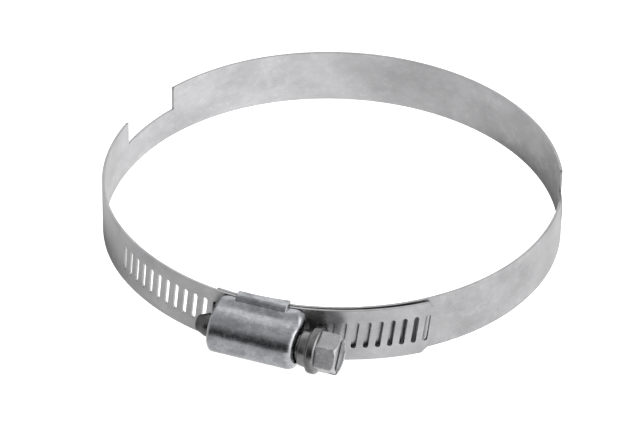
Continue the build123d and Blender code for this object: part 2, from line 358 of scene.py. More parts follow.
# A slot's cell in the mesh: heights of its straight sides, its shoulder and its top.
SLOT_STRAIGHT = (SLOT_LENGTH - SLOT_WIDTH) / 2
SIDE_HEIGHTS = [SLOT_STRAIGHT * (n / 4 - 1) for n in range(9)]
CELL_TOP = 4.2
CELL_SHOULDER = (SLOT_STRAIGHT + CELL_TOP) / 2
TAIL_CORNER = HALF - TAIL_CHAMFER * math.cos(SLANT)
LINE_HEIGHTS = (
    [-HALF, -TAIL_CORNER, -CELL_TOP, -CELL_SHOULDER]
    + SIDE_HEIGHTS
    + [CELL_SHOULDER, CELL_TOP, TAIL_CORNER, HALF]
)


def slot_point(middle, along, across):
    """A point of a slanted slot, from distances along and across it."""
    s = middle + along * math.sin(SLANT) + across * math.cos(SLANT)
    return s, along * math.cos(SLANT) - across * math.sin(SLANT)


def slot_loop():
    """The slot's edge as distances along and across, from the foot of its right side, with the
    matching points of its cell's edge as across and height. Its second half mirrors its first."""
    half, radius = SLOT_PITCH / 2, SLOT_WIDTH / 2
    ends = [(half, CELL_SHOULDER), (half, CELL_TOP), (half / 2, CELL_TOP), (0, CELL_TOP)]
    ends += [(-x, z) for x, z in reversed(ends[:-1])]
    top = [((z, radius), (half, z)) for z in SIDE_HEIGHTS]
    for n, edge in enumerate(ends, 1):
        turn = math.pi * n / (len(ends) + 1)
        top.append(((SLOT_STRAIGHT + radius * math.sin(turn), radius * math.cos(turn)), edge))
    return top + [((-along, -across), (-x, -z)) for (along, across), (x, z) in top]


def slotted_flat(first, last, lead):
    """Flat mesh of slot cells first to last. lead is a plain lead-in's start angle, or None."""
    flat = Flat()
    half = SLOT_PITCH / 2
    lean = math.tan(SLANT)

    def middle(number):
        return (FIRST_SLOT + SLOT_STEP * number) * Slotted.scale

    def cell(number, x, z):
        """Where a point of a cell lies: the last cell reaches to the tail's edge."""
        start = middle(number) + z * lean
        if number < SLOT_COUNT - 1:
            return start + x
        if abs(z) > CELL_TOP:
            left = start - half
            return left + (x + half) / SLOT_PITCH * (tail_limit(z) - left)
        return start + (x * (tail_limit(z) - start) / half if x > 0 else x)

    if lead is not None:
        line = [flat.point(lead * Slotted.scale, z, True) for z in LINE_HEIGHTS]
        right = [flat.point(cell(first, -half, z), z) for z in LINE_HEIGHTS]
        flat.grid([line, right])
    for number in range(first, last + 1):
        capped = {-half: number == first and lead is None, half: number == last < SLOT_COUNT - 1}
        inner, between, outer = [], [], []
        for (along, across), (x, z) in slot_loop():
            s0, z0 = slot_point(middle(number), along, across)
            s1 = cell(number, x, z)
            inner.append(flat.point(s0, z0, hole=True))
            between.append(flat.point((s0 + s1) / 2, (z0 + z) / 2))
            outer.append(flat.point(s1, z, capped.get(x, False)))
        for ring_a, ring_b in ((inner, between), (between, outer)):
            for n in range(len(ring_a)):
                m = (n + 1) % len(ring_a)
                flat.face(ring_a[n], ring_b[n], ring_b[m], ring_a[m])
        for heights in (LINE_HEIGHTS[:3], LINE_HEIGHTS[-3:]):
            lines = []
            for x in (-half, -half / 2, 0.0, half / 2, half):
                cut_end = capped.get(x, False)
                lines.append([flat.point(cell(number, x, z), z, cut_end) for z in heights])
            flat.grid(lines)
    return flat


def make_band(material):
    """The whole strip. Neighbouring pieces meet edge to edge, and the bend pieces lie across the links'
    hinges.
    """

    def keep(piece, body=None, node=None):
        piece.data.materials.append(material)
        if node:
            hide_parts(*node)
        if body:
            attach(piece, body)
        else:
            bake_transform(piece)

    first = CAPTIVE_END - FIRST_REACH
    keep(plate("band_captive", captive_flat(first), Plain), "clamp_base", node=["band_captive_end"])
    middles = [(a + b) / 2 for a, b in zip(HINGES, HINGES[1:])]
    names = [f"link_{n + 1:02d}" for n in range(LINKS)]
    for n in range(LINKS + 1):
        if n == OPEN_PIVOT:
            spans = ((middles[n - 1], HINGES[n]), (HINGES[n], middles[n]))
            for k, (low, high) in enumerate(spans):
                piece = plate(f"band_plain_{n + k:02d}", plain_flat(low, high), Plain)
                keep(piece, names[n - 1 + k])
            continue
        low = first if n == 0 else middles[n - 1]
        if n == LINKS:
            lead = plate("band_bend_last_plain", plain_flat(low, HINGES[n]), Plain)
            keep(lead)
            head = plate("band_bend_last_slotted", slotted_flat(0, 1, SLOTTED_START), Slotted)
            keep(head)
            continue
        piece = plate(f"band_bend_{n + 1:02d}", plain_flat(low, middles[n]), Plain)
        keep(piece)
    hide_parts(*[f"band_link_{n + 1:02d}" for n in range(LINKS)])
    tail = plate("band_slots", slotted_flat(2, SLOT_COUNT - 1, None), Slotted)
    keep(tail, "slotted_band", node=["band_slotted"])


# --- Housing ----------------------------------------------------------------
def smooth(value, low, high):
    """0 up to low, 1 from high, and an S-curve between them."""
    part = min(1.0, max(0.0, (value - low) / (high - low)))
    return part * part * (3 - 2 * part)


def band_face_y(x, radius):
    """Y of a cylinder about the slotted stretch's centre, at an X position."""
    return SLOTTED_CENTRE[1] - math.sqrt(radius**2 - (x - SLOTTED_CENTRE[0]) ** 2)


ARC_STEPS = 22
# Depths below the screw's axis of the points down a skirt's side.
SIDE_DROPS = (0.35, 0.7, 1.0, 1.25, 1.5, 1.7, 1.85, 2.0, 2.15, 2.3, 2.5, 2.8)
# Radius about the slotted stretch's centre where the skirts end, just off the band's outer face.
SKIRT_RADIUS = 53.40
# The skirts stand out by FLARE at FLARE_DROP below the axis, less over FLARE_CORNER at both ends.
FLARE = 1.02
FLARE_DROP = 2.7
FLARE_CORNER = 3.0
# The rounding of a skirt's edge, as (distance back from it, distance in from the side).
SKIRT_EDGE = ((0.16, 0.0), (0.05, 0.04), (0.0, 0.16))
LEFT_ROUND = 0.95
RIGHT_ROUND = 1.25
RIGHT_LENGTH = 1.9
STATION_STEP = 0.7
# Radii of the hollow and of the end walls' holes, and how deep the walls' faces lie.
HOLLOW = 4.38
LEFT_HOLE = 2.66
RIGHT_HOLE = 3.06
RECESS = 0.9
WALL_INSIDE = 1.02


def section(x, inset, hollow):
    """Half outline (z from 0 to the skirt's edge) across the screw, as (y, z) points. It is the
    dome's, made smaller by inset, or that of the inside where hollow gives a radius."""
    radius = hollow or DOME - inset
    ends = min(x - HOUSING[0], HOUSING[1] - x)
    part = min(1.0, max(0.0, ends / FLARE_CORNER))
    flare = 0.0 if hollow else FLARE * math.sqrt(1 - (1 - part) ** 2)
    points = []
    for n in range(ARC_STEPS + 1):
        turn = math.pi / 2 * n / ARC_STEPS
        points.append((SCREW_Y - radius * math.cos(turn), radius * math.sin(turn)))
    bottom = band_face_y(x, SKIRT_RADIUS)
    reach = min(1.0, (bottom - 0.3 - SCREW_Y) / SIDE_DROPS[-1])
    for drop in SIDE_DROPS:
        points.append((SCREW_Y + drop * reach, radius + flare * smooth(drop, 0.0, FLARE_DROP)))
    width = points[-1][1]
    for back, inward in SKIRT_EDGE:
        points.append((bottom - back, width if hollow else width - inward))
    return points


def outer_stations():
    """(x, inset, None) along the outside, rounded at both ends."""
    left, right = HOUSING
    stations = []
    for n in range(9):
        turn = math.pi / 2 * n / 8
        x = left + LEFT_ROUND * (1 - math.cos(turn))
        stations.append((x, LEFT_ROUND * (1 - math.sin(turn)), None))
    for x in steps(left + LEFT_ROUND, right - RIGHT_LENGTH, STATION_STEP)[1:-1]:
        stations.append((x, 0.0, None))
    for n in range(11):
        turn = math.pi / 2 * n / 10
        x = right - RIGHT_LENGTH * (1 - math.sin(turn))
        stations.append((x, RIGHT_ROUND * (1 - math.cos(turn)), None))
    return stations


def inner_stations():
    """(x, 0, radius) back along the inside: the right end's recess and its hole for the screw,
    the hollow, and the left end's hole."""
    left, right = HOUSING
    rim = DOME - RIGHT_ROUND
    wall = right - RECESS
    return [
        (right, 0, rim - 0.22), (right - 0.06, 0, rim - 0.3), (wall + 0.08, 0, rim - 0.34),
        (wall, 0, rim - 0.4), (wall, 0, RIGHT_HOLE + 0.06), (wall - 0.04, 0, RIGHT_HOLE),
        (right - WALL_INSIDE + 0.02, 0, RIGHT_HOLE), (right - WALL_INSIDE, 0, HOLLOW - 0.03),
        (right - 5, 0, HOLLOW), (left + 5, 0, HOLLOW), (left + WALL_INSIDE, 0, HOLLOW - 0.03),
        (left + WALL_INSIDE - 0.02, 0, LEFT_HOLE), (left + 0.06, 0, LEFT_HOLE), (left, 0, LEFT_HOLE + 0.08),
    ]


def make_housing(material):
    """The stamped housing: dome with rounded ends, skirts, and recessed end walls."""
    outside, inside = outer_stations(), inner_stations()
    bm = bmesh.new()
    rows = []
    for x, inset, hollow in outside + inside:
        half = section(x, inset, hollow)
        full = [(y, -z) for y, z in reversed(half[1:])] + half
        rows.append([bm.verts.new(Vector((x, y, z)) * MM) for y, z in full])
    count = len(rows[0])
    for n, row in enumerate(rows):
        after = rows[(n + 1) % len(rows)]
        for k in range(count - 1):
            bm.faces.new((row[k], row[k + 1], after[k + 1], after[k]))
    for k in (0, count - 1):
        bm.faces.new([row[k] for row in rows])
    bmesh.ops.triangulate(bm, faces=[f for f in bm.faces if len(f.verts) > 4])
    bmesh.ops.recalc_face_normals(bm, faces=bm.faces)
    for side in (1, -1):
        add_strap(bm, side)
    body = finish_mesh("housing_shell", bm, 38)
    body.data.materials.append(material)
    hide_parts("housing")
    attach(body, "clamp_base")


def rounded(points, radii):
    """Closed outline with each corner rounded by its own radius."""
    count = 4
    out = []
    for n, (point, radius) in enumerate(zip(points, radii)):
        here = Vector(point)
        before = (Vector(points[n - 1]) - here).normalized()
        after = (Vector(points[(n + 1) % len(points)]) - here).normalized()
        start, end = here + before * radius, here + after * radius
        for k in range(count + 1):
            t = k / count
            out.append(tuple(start * (1 - t) ** 2 + here * 2 * t * (1 - t) + end * t**2))
    return out


# A strap: the height where it leaves the skirt, its faces, and the lip under the band. SEAT is the
# radius of the pipe's seat, and LIP_RADIUS that of the lip's top about the slotted stretch's centre.
SEAT = 50.0
STRAP_ROOT = 5.1
STRAP_FACE = 7.28
STRAP_INSIDE = 6.48
LIP_END = 4.32
LIP_RADIUS = 52.6
STRAP_ROUND = 0.22
STRAP_STEP = 0.8


def strap_stations():
    """(x, inset) along a strap, rounded at both ends."""
    left, right = STRAP
    turns = [math.pi / 2 * n / 4 for n in range(5)]
    start = [(left + STRAP_ROUND * (1 - math.cos(t)), STRAP_ROUND * (1 - math.sin(t))) for t in turns]
    middle = [(x, 0.0) for x in steps(left + STRAP_ROUND, right - STRAP_ROUND, STRAP_STEP)[1:-1]]
    end = [(right - STRAP_ROUND * (1 - math.sin(t)), STRAP_ROUND * (1 - math.cos(t))) for t in turns]
    return start + middle + end


def add_strap(bm, side):
    """A strap: out of the skirt, down past the band's edge, and in under it as a lip."""
    lip_top = band_face_y(2.0, LIP_RADIUS)
    outline = rounded(
        [
            (-53.5, STRAP_ROOT), (-53.0, 5.6), (-51.75, STRAP_FACE), (-SEAT, STRAP_FACE), (-SEAT, LIP_END),
            (lip_top, LIP_END), (lip_top, STRAP_INSIDE), (-51.2, STRAP_INSIDE), (-51.8, STRAP_ROOT),
        ],
        [0.1, 0.3, 0.45, 0.3, 0.2, 0.15, 0.1, 0.1, 0.05],
    )
    centre = Vector((sum(p[0] for p in outline), sum(p[1] for p in outline))) / len(outline)
    half_outline, seat_side = 2.2, -50.3
    rows = []
    for x, inset in strap_stations():
        row = []
        for y, z in outline:
            y1, z1 = centre + (Vector((y, z)) - centre) * (1 - inset / half_outline)
            if y < seat_side:
                lift = band_face_y(x, LIP_RADIUS) - lip_top
            else:
                lift = SEAT - math.sqrt(SEAT**2 - x * x)
            y1 += lift * smooth(y, -52.0, -51.0)
            row.append(bm.verts.new(Vector((x, y1, side * z1)) * MM))
        rows.append(row)
    faces = []
    for row, after in zip(rows, rows[1:]):
        for k in range(len(row)):
            m = (k + 1) % len(row)
            faces.append(bm.faces.new((row[k], row[m], after[m], after[k])))
    ends = [bm.faces.new(row) for row in (rows[0], rows[-1])]
    ends = bmesh.ops.triangulate(bm, faces=ends)["faces"]
    bmesh.ops.recalc_face_normals(bm, faces=faces + ends)


def mark_sharp(bm, degrees):
    """Smooth shading, except across edges sharper than degrees."""
    for face in bm.faces:
        face.smooth = True
    for edge in bm.edges:
        if len(edge.link_faces) == 2:
            edge.smooth = edge.calc_face_angle(0.0) < math.radians(degrees)


def finish_mesh(name, bm, sharp_angle):
    """Object from a mesh, smooth except across edges sharper than sharp_angle degrees."""
    mark_sharp(bm, sharp_angle)
    mesh = bpy.data.meshes.new(name)
    bm.to_mesh(mesh)
    bm.free()
    return add(name, mesh)


# --- Worm screw -------------------------------------------------------------
TURNS = 144
HEAD_TURNS = 288
HEX_START = 16.9
HEX_END = 21.5
HEX_ACROSS = 7.94
HEX_CORNER = HEX_ACROSS / math.sqrt(3)
HEX_CHAMFER = 1.05
HEX_FACE = 3.88
# Exponents: how sharp the hexagon's corners and its chamfer's edge are.
HEX_SHARP = 90
CHAMFER_SHARP = 60
HEAD_TURN = math.radians(47.0)
# The end's rim and dish, as (depth, radius).
HEX_DISH = (
    (0.0, 3.74), (0.0, 3.6), (0.02, 3.48), (0.1, 3.4), (0.32, 3.34), (0.4, 3.2), (0.4, 2.2), (0.4, 1.2),
)
DRIVER_WIDTH = 1.4
DRIVER_DEPTH = 1.6
DRIVER_TURN = math.radians(126.0)
DRIVER_ROUND = 0.07


def ring(bm, x, radii):
    """A ring of points about the screw's axis, one for each radius."""
    row = []
    for n, radius in enumerate(radii):
        turn = 2 * math.pi * n / len(radii)
        y, z = SCREW_Y - radius * math.cos(turn), radius * math.sin(turn)
        row.append(bm.verts.new(Vector((x, y, z)) * MM))
    return row


def tip(bm, x):
    """A ring of one point, on the screw's axis."""
    return [bm.verts.new(Vector((x, SCREW_Y, 0)) * MM)]


def lathe(bm, profile):
    """Closed turned shape about the screw's axis from (x, radius) points."""
    skin(bm, [ring(bm, x, [radius] * TURNS) if radius else tip(bm, x) for x, radius in profile])


def skin(bm, rows):
    """Faces between neighbouring rings of points. A ring of one point is a tip."""
    for row, after in zip(rows, rows[1:]):
        count = max(len(row), len(after))
        for n in range(count):
            m = (n + 1) % count
            if len(row) == 1:
                bm.faces.new((row[0], after[m], after[n]))
            elif len(after) == 1:
                bm.faces.new((row[n], row[m], after[0]))
            else:
                bm.faces.new((row[n], row[m], after[m], after[n]))


def arc(centre, radius, start, end, count):
    """Points of an arc in the (x, radius) plane, angles in degrees from +x."""
    out = []
    for n in range(count + 1):
        turn = math.radians(start + (end - start) * n / count)
        out.append((centre[0] + radius * math.cos(turn), centre[1] + radius * math.sin(turn)))
    return out


def shank_profile():
    """Tip, journal, core, neck, collar and flange, from the tip's centre to inside the head."""
    out = [(-10.68, 0.0), (-10.68, 0.35), (-10.66, 0.7)]
    out += arc((-9.95, 1.12), 0.72, 165, 100, 6)
    out += [(-9.6, 2.02), (-9.1, 2.25), (-8.7, 2.42), (-8.35, 2.54), (-8.1, 2.59), (-5.8, 2.59),
            (-5.74, 2.73), (11.2, 2.73), (11.26, 2.98), (13.0, 2.98), (13.02, 3.3)]
    out += [(13.03, 3.72), (13.08, 3.82), (13.2, 3.9), (13.6, 3.97), (14.2, 4.05), (14.75, 4.13)]
    out += [(14.98, 4.22), (15.12, 4.36)]
    out += arc((15.72, 4.48), 0.6, 175, 90, 8)
    out += [(16.0, 5.09)]
    out += arc((16.45, 4.4), 0.69, 80, 5, 8)
    out += [(17.16, 4.3), (17.2, 4.15), (17.22, 3.2), (17.22, 0.0)]
    return out


def hex_radius(turn):
    """Radius of the hexagon, with softened corners, at an angle from one of its corners."""
    total = sum(abs(math.cos(turn - math.radians(30 + 60 * k))) ** HEX_SHARP for k in range(3))
    return HEX_ACROSS / 2 / total ** (1 / HEX_SHARP)


def head_radii(x):
    """The hexagon's radii at a station: inside the chamfer's cone near the end."""
    radii = [hex_radius(2 * math.pi * n / HEAD_TURNS - HEAD_TURN) for n in range(HEAD_TURNS)]
    straight = HEX_END - HEX_CHAMFER
    if x <= straight:
        return radii
    part = (x - straight) / HEX_CHAMFER
    base = HEX_CORNER + 0.1
    cone = base - (base - HEX_FACE) * part**2.2
    power = -CHAMFER_SHARP
    return [(radius**power + cone**power) ** (1 / power) for radius in radii]


def make_head():
    """Closed hexagon with a chamfered end and a dish, before the driver slot is cut."""
    bm = bmesh.new()
    straight = HEX_END - HEX_CHAMFER
    stations = [HEX_START] + steps(17.25, straight, 0.8) + steps(straight, HEX_END - 0.06, 0.07)[1:]
    rows = [tip(bm, HEX_START)]
    rows += [ring(bm, x, head_radii(x)) for x in stations]
    rows += [ring(bm, HEX_END - depth, [radius] * HEAD_TURNS) for depth, radius in HEX_DISH]
    rows.append(tip(bm, HEX_END - HEX_DISH[-1][0]))
    skin(bm, rows)
    bmesh.ops.recalc_face_normals(bm, faces=bm.faces)
    return finish_mesh("screw_head", bm, 40)


def driver_cutter(along, across):
    """The box that leaves the driver slot: twice as deep as the slot, and longer than the head."""
    bm = bmesh.new()
    bmesh.ops.create_cube(bm, size=1.0)
    for vert in bm.verts:
        x, y, z = vert.co
        point = Vector((HEX_END + x * 2 * DRIVER_DEPTH, SCREW_Y, 0))
        vert.co = (point + along * (y * 14.0) + across * (z * DRIVER_WIDTH)) * MM
    bmesh.ops.recalc_face_normals(bm, faces=bm.faces)
    return finish_mesh("slot_cutter", bm, 30)


def cut_driver_slot(head):
    """Cuts the driver slot across the head's end, with softened edges."""
    along = Vector((0, -math.cos(DRIVER_TURN), math.sin(DRIVER_TURN)))
    across = Vector((0, math.sin(DRIVER_TURN), math.cos(DRIVER_TURN)))
    cutter = driver_cutter(along, across)
    cut = head.modifiers.new("Slot", "BOOLEAN")
    cut.object = cutter
    cut.operation = "DIFFERENCE"
    cut.solver = "EXACT"
    bpy.context.view_layer.update()
    graph = bpy.context.evaluated_depsgraph_get()
    mesh = bpy.data.meshes.new_from_object(head.evaluated_get(graph))
    head.modifiers.clear()
    head.data = mesh
    bpy.data.objects.remove(cutter)

    def on_slot_edge(vert):
        x, y, z = vert.co / MM
        aside = abs(Vector((0, y - SCREW_Y, z)).dot(across))
        return aside < DRIVER_WIDTH / 2 + 0.02 and x > HEX_END - DRIVER_DEPTH + 0.05

    bm = bmesh.new()
    bm.from_mesh(mesh)
    edges = [
        tuple(edge.verts) for edge in bm.edges
        if len(edge.link_faces) == 2 and edge.calc_face_angle(0.0) > math.radians(40)
        and all(on_slot_edge(vert) for vert in edge.verts)
    ]
    round_edges(bm, [(edges, DRIVER_ROUND)])
    mark_sharp(bm, 35)
    bm.to_mesh(mesh)
    bm.free()
    return head


def make_thread(bm):
    """Worm thread as a closed helical ridge, in phase with the slots, fading out at both ends."""
    nearest = round(-FIRST_SLOT / SLOT_STEP)
    slot_angle = math.radians(FIRST_SLOT + SLOT_STEP * nearest)
    mesh_x = SLOTTED_CENTRE[0] + SLOTTED_MIDDLE * math.sin(slot_angle)
    crest = band_face_y(SLOTTED_CENTRE[0], SLOTTED_MIDDLE + THICK / 2) + 0.5 - SCREW_Y
    start, end = -4.9, 10.4
    root, half_crest = 2.6, 0.25
    half_root = half_crest + (crest - root) * math.tan(math.radians(15))
    steps_a_turn, fade = 48, 10
    count = int((end - start) / SLOT_PITCH * steps_a_turn)
    rows = []
    for n in range(count + 1):
        x = start + (end - start) * n / count
        phase = 2 * math.pi * (x - mesh_x) / SLOT_PITCH
        grow = min(1.0, n / fade, (count - n) / fade)
        top = root + (crest - root) * max(0.05, grow)
        ridge = (
            (-half_root, root), (-half_crest - 0.03, top - 0.06), (-half_crest + 0.05, top),
            (half_crest - 0.05, top), (half_crest + 0.03, top - 0.06), (half_root, root),
        )
        row = []
        for dx, radius in ridge:
            y, z = SCREW_Y + radius * math.cos(phase), radius * math.sin(phase)
            row.append(bm.verts.new(Vector((x + dx, y, z)) * MM))
        rows.append(row)
    skin_closed(bm, rows)


def skin_closed(bm, rows):
    """Faces between neighbouring rings of points, and over the first and the last ring."""
    for row, after in zip(rows, rows[1:]):
        for n in range(len(row)):
            m = (n + 1) % len(row)
            bm.faces.new((row[n], row[m], after[m], after[n]))
    bm.faces.new(rows[0])
    bm.faces.new(rows[-1])


def make_screw(shank_material, head_material):
    bm = bmesh.new()
    lathe(bm, shank_profile())
    make_thread(bm)
    bmesh.ops.recalc_face_normals(bm, faces=bm.faces)
    shank = finish_mesh("screw_shank", bm, 42)
    head = cut_driver_slot(make_head())
    for piece, material in ((shank, shank_material), (head, head_material)):
        piece.data.materials.append(material)
    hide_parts("worm_screw")
    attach(shank, "screw")
    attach(head, "screw")


# --- Materials --------------------------------------------------------------
# Sockets of a colour mix node, by number.
MIX_FACTOR, MIX_FIRST, MIX_SECOND, MIX_RESULT = 0, 6, 7, 2


class Nodes:
    """A small builder for node materials."""

    def __init__(self, name):
        self.material = bpy.data.materials.new(name)
        self.material.use_nodes = True
        self.tree = self.material.node_tree
        self.tree.nodes.clear()
        self.out = self.add("ShaderNodeOutputMaterial")
        self.shader = self.add("ShaderNodeBsdfPrincipled")
        self.join(self.shader, "BSDF", self.out, "Surface")

    def add(self, kind, **values):
        node = self.tree.nodes.new(kind)
        for key, value in values.items():
            setattr(node, key, value)
        return node

    def join(self, source, output, target, socket):
        self.tree.links.new(source.outputs[output], target.inputs[socket])

    def coordinates(self, stretch, uv):
        source = self.add("ShaderNodeTexCoord")
        mapping = self.add("ShaderNodeMapping")
        mapping.inputs["Scale"].default_value = stretch
        self.join(source, "UV" if uv else "Object", mapping, "Vector")
        return mapping

    def noise(self, stretch, uv, detail=4.0, rough=0.55, distortion=0.0):
        node = self.add("ShaderNodeTexNoise")
        node.inputs["Scale"].default_value = 1.0
        node.inputs["Detail"].default_value = detail
        node.inputs["Roughness"].default_value = rough
        node.inputs["Distortion"].default_value = distortion
        self.join(self.coordinates(stretch, uv), "Vector", node, "Vector")
        return node

    def place(self, coordinates):
        """The separate X, Y and Z of a point, in UV or Object coordinates."""
        split = self.add("ShaderNodeSeparateXYZ")
        self.join(self.add("ShaderNodeTexCoord"), coordinates, split, 0)
        return split

    def reach(self, offset, axes):
        """Distance from the point at minus offset, along the axes that are 1 and not 0."""
        shift = self.add("ShaderNodeVectorMath", operation="ADD")
        shift.inputs[1].default_value = offset
        self.join(self.add("ShaderNodeTexCoord"), "Object", shift, 0)
        flat = self.add("ShaderNodeVectorMath", operation="MULTIPLY")
        flat.inputs[1].default_value = axes
        self.join(shift, "Vector", flat, 0)
        length = self.add("ShaderNodeVectorMath", operation="LENGTH")
        self.join(flat, "Vector", length, 0)
        return length

    def inner_light_outer_shade(self):
        """Painted light on the band's inner side and painted shade on its outer side, told apart by the UV
        map, which holds the inner side above the outer side.
        """
        part = self.maths("DIVIDE", (self.place("UV"), "Y"), INNER_SIDE_UV)
        return self.ramp(part, 0, [(0.45, OUTER_PAINTED_SHADE), (0.55, INNER_PAINTED_LIGHT)])

    def tip_painted_shade(self):
        """Painted shade: darker towards the screw's tip, which is near X = -12 mm."""
        start, length = -12.0 * MM, 24.0 * MM
        along = self.maths("ADD", (self.place("Object"), "X"), -start)
        part = self.maths("DIVIDE", (along, 0), length)
        return self.ramp(part, 0, [(0.0, 0.42), (0.2, 0.5), (0.5, 1.0)])

    def dish_painted_shade(self):
        """Painted shade in the dish and the driver slot of the head's end."""
        widest = 5.0 * MM
        reach = self.reach((0.0, -SCREW_Y * MM, 0.0), (0.0, 1.0, 1.0))
        part = self.maths("DIVIDE", (reach, "Value"), widest)
        return self.ramp(part, 0, [(0.645, 0.5), (0.69, 1.0)])

    def ramp(self, source, output, stops):
        node = self.add("ShaderNodeValToRGB")
        ramp = node.color_ramp
        ramp.elements[0].position, ramp.elements[0].color = stops[0][0], grey(stops[0][1])
        ramp.elements[1].position, ramp.elements[1].color = stops[-1][0], grey(stops[-1][1])
        for position, value in stops[1:-1]:
            ramp.elements.new(position).color = grey(value)
        self.join(source, output, node, "Fac")
        return node

    def times(self, first, second):
        """One colour multiplied by another."""
        node = self.add("ShaderNodeMix", data_type="RGBA", blend_type="MULTIPLY")
        node.inputs[MIX_FACTOR].default_value = 1.0
        self.join(first, "Color" if "Color" in first.outputs else MIX_RESULT, node, MIX_FIRST)
        self.join(second, "Color" if "Color" in second.outputs else MIX_RESULT, node, MIX_SECOND)
        return node

    def maths(self, operation, first, second):
        """An operation on two values, each a number or a (node, output) pair."""
        node = self.add("ShaderNodeMath", operation=operation)
        for number, value in enumerate((first, second)):
            if isinstance(value, (int, float)):
                node.inputs[number].default_value = value
            else:
                self.join(value[0], value[1], node, number)
        return node

    def bump(self, source, output, depth, before=None):
        node = self.add("ShaderNodeBump")
        node.inputs["Strength"].default_value = 1.0
        node.inputs["Distance"].default_value = depth
        self.join(source, output, node, "Height")
        if before:
            self.join(before, "Normal", node, "Normal")
        return node


def grey(value):
    """Opaque colour from a tone, or from three of them."""
    if isinstance(value, tuple):
        return (*value, 1.0)
    return (value, value, value, 1.0)


def steel(name, uv, blotches, unit, tones, roughness, depth, tint=(1.0, 1.0, 1.0), smudges=(0.93, 1.10),
          metallic=1.0, shade=None):
    """Rolled or cold-headed steel with soft blotches, smudges, fine grain and flecks. blotches is
    their number per unit of length, along and across, and unit that of the grain and the flecks."""
    n = Nodes(name)
    n.shader.inputs["Metallic"].default_value = metallic
    dark, middle, light = [tuple(tone * part for part in tint) for tone in tones]
    along, across = blotches
    blotch = n.noise((along, across, across), uv, 3.0, 0.5, 0.15)
    smudge = n.noise((4.3 * along, 4.6 * across, 4.6 * across), uv, 6.0, 0.62, 0.5)
    lines = n.noise((0.07 * unit, 2.6 * unit, 2.6 * unit), uv, 5.0, 0.65)
    fleck = n.noise((1.1 * unit, 1.2 * unit, 1.2 * unit), uv, 4.0, 0.65, 0.4)
    colour = n.ramp(blotch, "Fac", [(0.34, dark), (0.5, middle), (0.66, light)])
    layers = [
        n.ramp(smudge, "Fac", [(0.36, smudges[0]), (0.46, 1.0), (0.55, 1.0), (0.60, smudges[1])]),
        n.ramp(lines, "Fac", [(0.25, 0.965), (0.75, 1.03)]),
        n.ramp(fleck, "Fac", [(0.24, 0.62), (0.31, 0.97), (0.5, 1.0), (0.72, 1.02), (0.77, 1.18)]),
    ]
    # shade, when given, is a layer of painted light and shade.
    if shade:
        layers.append(shade(n))
    for layer in layers:
        colour = n.times(colour, layer)
    n.join(colour, MIX_RESULT, n.shader, "Base Color")
    spread = n.add("ShaderNodeMapRange")
    set_range(spread, (0.35, 0.65), roughness)
    n.join(smudge, "Fac", spread, "Value")
    n.join(spread, "Result", n.shader, "Roughness")
    fine = n.bump(lines, "Fac", depth)
    coarse = n.bump(smudge, "Fac", 2.0 * depth, fine)
    n.join(coarse, "Normal", n.shader, "Normal")
    return n.material


def set_range(node, span, levels):
    """Sets a map range node's input span and its output levels."""
    for socket, value in zip(("From Min", "From Max", "To Min", "To Max"), span + levels):
        node.inputs[socket].default_value = value


# --- Stage, light and camera ------------------------------------------------
# Strengths of the studio's sky and table, as the steel mirrors them.
SKY_FRONT, SKY_TOP, SKY_BACK = 0.05, 0.54, 1.05
SKY_RIGHT = 1.9
TABLE_LEFT, TABLE_RIGHT, TABLE_EDGE = 0.80, 1.20, 1.22
FRONT_CARD = 0.88
# Where each part of them starts and ends, by a direction's X, Y or Z.
HORIZON_Z = (-0.02, 0.10)
FRONT_Y, BACK_Y, RIGHT_X = (-0.95, -0.52), (0.35, 0.80), (0.55, 0.9)
TABLE_X, TABLE_EDGE_X = (-0.25, 0.5), (0.65, 0.84)
CARD_Y, CARD_Z = (-0.35, -0.85), (-0.26, -0.06)
FLOOR_Z = -7.32
FLOOR_HALF = 6.0
TABLE_GLOW = 0.85
# Shade on the table beside the band's wall: inside it on the right, and outside it on the left.
CONTACT_Z = -7.31
CONTACT_HALF = 60.0 * MM
CONTACT_GREY = 0.12
CONTACT_STRENGTH = 0.85
WALL_LINE = (50.4, 50.6)
INSIDE_REACH, INSIDE_X = (41.0, 49.0), (0.0, 40.0)
OUTSIDE_REACH, OUTSIDE_X = (59.0, 51.5), (-25.0, -48.0)
KEY_PLACE = (-0.6, 0.5, 1.1)
KEY_SIZE = 0.9
KEY_POWER = 0.9
# The camera's place round the origin and its roll in degrees, and its small aim in radians.
CAMERA_AZIMUTH, CAMERA_ELEVATION, CAMERA_ROLL = 19.5, 34.365, 1.3386
CAMERA_PAN, CAMERA_TILT = -0.0038669, 0.0047413
CAMERA_DISTANCE = 0.7918
CAMERA_LENS = 200.67


def square(name, half, height):
    """A flat square at a height in millimetres, its half side in metres."""
    z = height * MM
    mesh = bpy.data.meshes.new(name)
    corners = [(-half, -half, z), (half, -half, z), (half, half, z), (-half, half, z)]
    mesh.from_pydata(corners, [], [(0, 1, 2, 3)])
    return add(name, mesh)


def make_floor():
    """Plain pale floor that glows a little and isn't mirrored: the steel mirrors the world instead."""
    floor = square("floor", FLOOR_HALF, FLOOR_Z)
    n = Nodes("floor_white")
    for socket, value in (("Base Color", grey(0.93)), ("Roughness", 0.9), ("Specular IOR Level", 0.0),
                          ("Emission Color", grey(1.0)), ("Emission Strength", TABLE_GLOW)):
        n.shader.inputs[socket].default_value = value
    floor.data.materials.append(n.material)
    floor.visible_glossy = False


